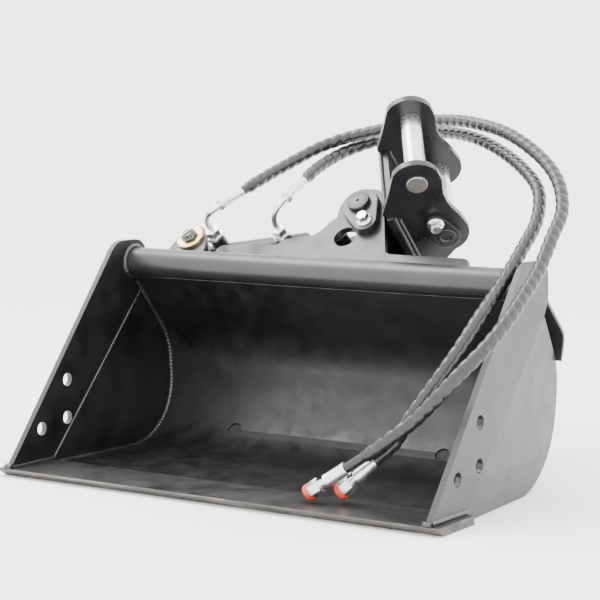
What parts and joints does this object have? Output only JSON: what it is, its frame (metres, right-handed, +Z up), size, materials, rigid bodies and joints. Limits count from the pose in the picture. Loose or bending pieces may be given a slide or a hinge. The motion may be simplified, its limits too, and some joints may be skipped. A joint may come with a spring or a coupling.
{
  "type": "tilting grading bucket",
  "caption": "Hydraulic tilting grading bucket with pin hanger, tilt cylinder and two capped hoses.",
  "frame": {"origin": "under the middle of the cutting edge, on the ground", "axes": "+X along the cutting edge, +Y from the mouth to the back, +Z up"},
  "size_m": [0.8574, 0.6764, 0.6223],
  "materials": {
    "black_paint": "semi-gloss black paint over steel plate",
    "worn_edge_steel": "black paint scuffed to brownish grey steel",
    "ground_steel": "ground bright steel",
    "hard_chrome": "polished hard chrome",
    "white_zinc": "white zinc plated",
    "yellow_zinc": "yellow passivated zinc",
    "bearing_bronze": "machined bronze",
    "black_rubber": "black rubber hose in a glossy spiral guard",
    "orange_cap": "orange-red moulded plastic"
  },
  "bodies": {
    "bucket": {"shell": "black_paint", "left_side_plate": "black_paint", "right_side_plate": "black_paint", "left_side_strip": "black_paint", "right_side_strip": "black_paint", "torque_tube": "black_paint", "rear_stiffener": "black_paint", "front_tilt_plate": "black_paint", "rear_tilt_plate": "black_paint", "front_anchor_lug": "black_paint", "rear_anchor_lug": "black_paint", "tilt_plate_brace": "black_paint", "main_pivot_pin": "black_paint", "pivot_retainer": "black_paint", "cutting_edge": "worn_edge_steel", "anchor_pin": "ground_steel", "anchor_nut": "ground_steel", "anchor_spacer_front": "ground_steel", "anchor_spacer_rear": "ground_steel", "anchor_cotter": "ground_steel", "pivot_retainer_bolt": "white_zinc", "hose_1_end_ferrule": "white_zinc", "hose_2_end_ferrule": "white_zinc", "hose_1_end_nut": "white_zinc", "hose_2_end_nut": "white_zinc", "anchor_washer_inner": "yellow_zinc", "anchor_washer_outer": "yellow_zinc", "hose_1": "black_rubber", "hose_2": "black_rubber", "hose_1_cap": "orange_cap", "hose_2_cap": "orange_cap"},
    "hanger": {"near_ear": "black_paint", "far_ear": "black_paint", "hanger_base_plate": "black_paint", "arm_pin": "ground_steel", "link_pin": "ground_steel", "link_pin_retainer": "black_paint", "link_pin_bolt": "white_zinc", "pivot_boss": "black_paint", "pivot_boss_web": "black_paint", "front_bush": "bearing_bronze", "rear_bush": "bearing_bronze", "lever_plate": "black_paint"},
    "cylinder": {"cylinder_base_eye": "black_paint", "cylinder_barrel": "black_paint", "cylinder_gland": "black_paint", "port_boss_1": "black_paint", "port_boss_2": "black_paint", "port_nut_1": "white_zinc", "port_nut_2": "white_zinc", "hose_1_elbow": "white_zinc", "hose_2_elbow": "white_zinc", "hose_1_ferrule": "white_zinc", "hose_2_ferrule": "white_zinc"},
    "rod": {"piston": "ground_steel", "piston_seal": "black_rubber", "piston_rod": "hard_chrome", "rod_eye": "black_paint", "lever_pin": "ground_steel"}
  },
  "joints": [
    {"name": "hanger_tilt", "type": "hinge", "parent": "bucket", "child": "hanger", "pos_m": [0, 0.38636, 0.44761], "axis": [0, -0.7071, 0.7071], "range_deg": [0, 70]},
    {"name": "cylinder_swing", "type": "hinge", "parent": "bucket", "child": "cylinder", "pos_m": [-0.3175, 0.38318, 0.32846], "axis": [0, -0.7071, 0.7071], "range_deg": [-8.1, 0]},
    {"name": "rod_slide", "type": "slide", "parent": "cylinder", "child": "rod", "axis": [0.9761, 0.1536, 0.1536], "range_m": [0, 0.0464]}
  ],
  "couplings": [
    {"joint": "cylinder_swing", "follows": "hanger_tilt", "ratio": -0.114},
    {"joint": "rod_slide", "follows": "hanger_tilt", "m_per_rad": 0.037815}
  ]
}
